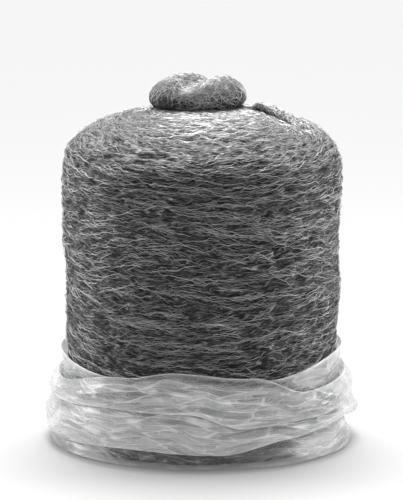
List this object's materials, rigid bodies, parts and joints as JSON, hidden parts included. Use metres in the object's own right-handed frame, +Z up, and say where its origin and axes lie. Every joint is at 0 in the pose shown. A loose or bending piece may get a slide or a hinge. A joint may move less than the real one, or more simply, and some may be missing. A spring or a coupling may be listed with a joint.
{
  "type": "steel wool bundle",
  "caption": "Coreless domed roll of steel wool standing in a rucked-down clear plastic bag, with a folded wad of wool on top.",
  "frame": {"origin": "on the floor under the roll's axis, at the middle of the bag's footprint", "axes": "+Z up along the roll's axis; -Y towards the front; +X to the right, where the wool's outer end lies"},
  "size_m": [0.3403, 0.336, 0.3935],
  "materials": {
    "steel_wool": "fine grey steel fibres, matted",
    "clear_film": "thin milky polythene film, glossy"
  },
  "bodies": {
    "root": {"wool_roll": "steel_wool", "top_wad": "steel_wool", "plastic_bag": "clear_film"}
  },
  "joints": []
}
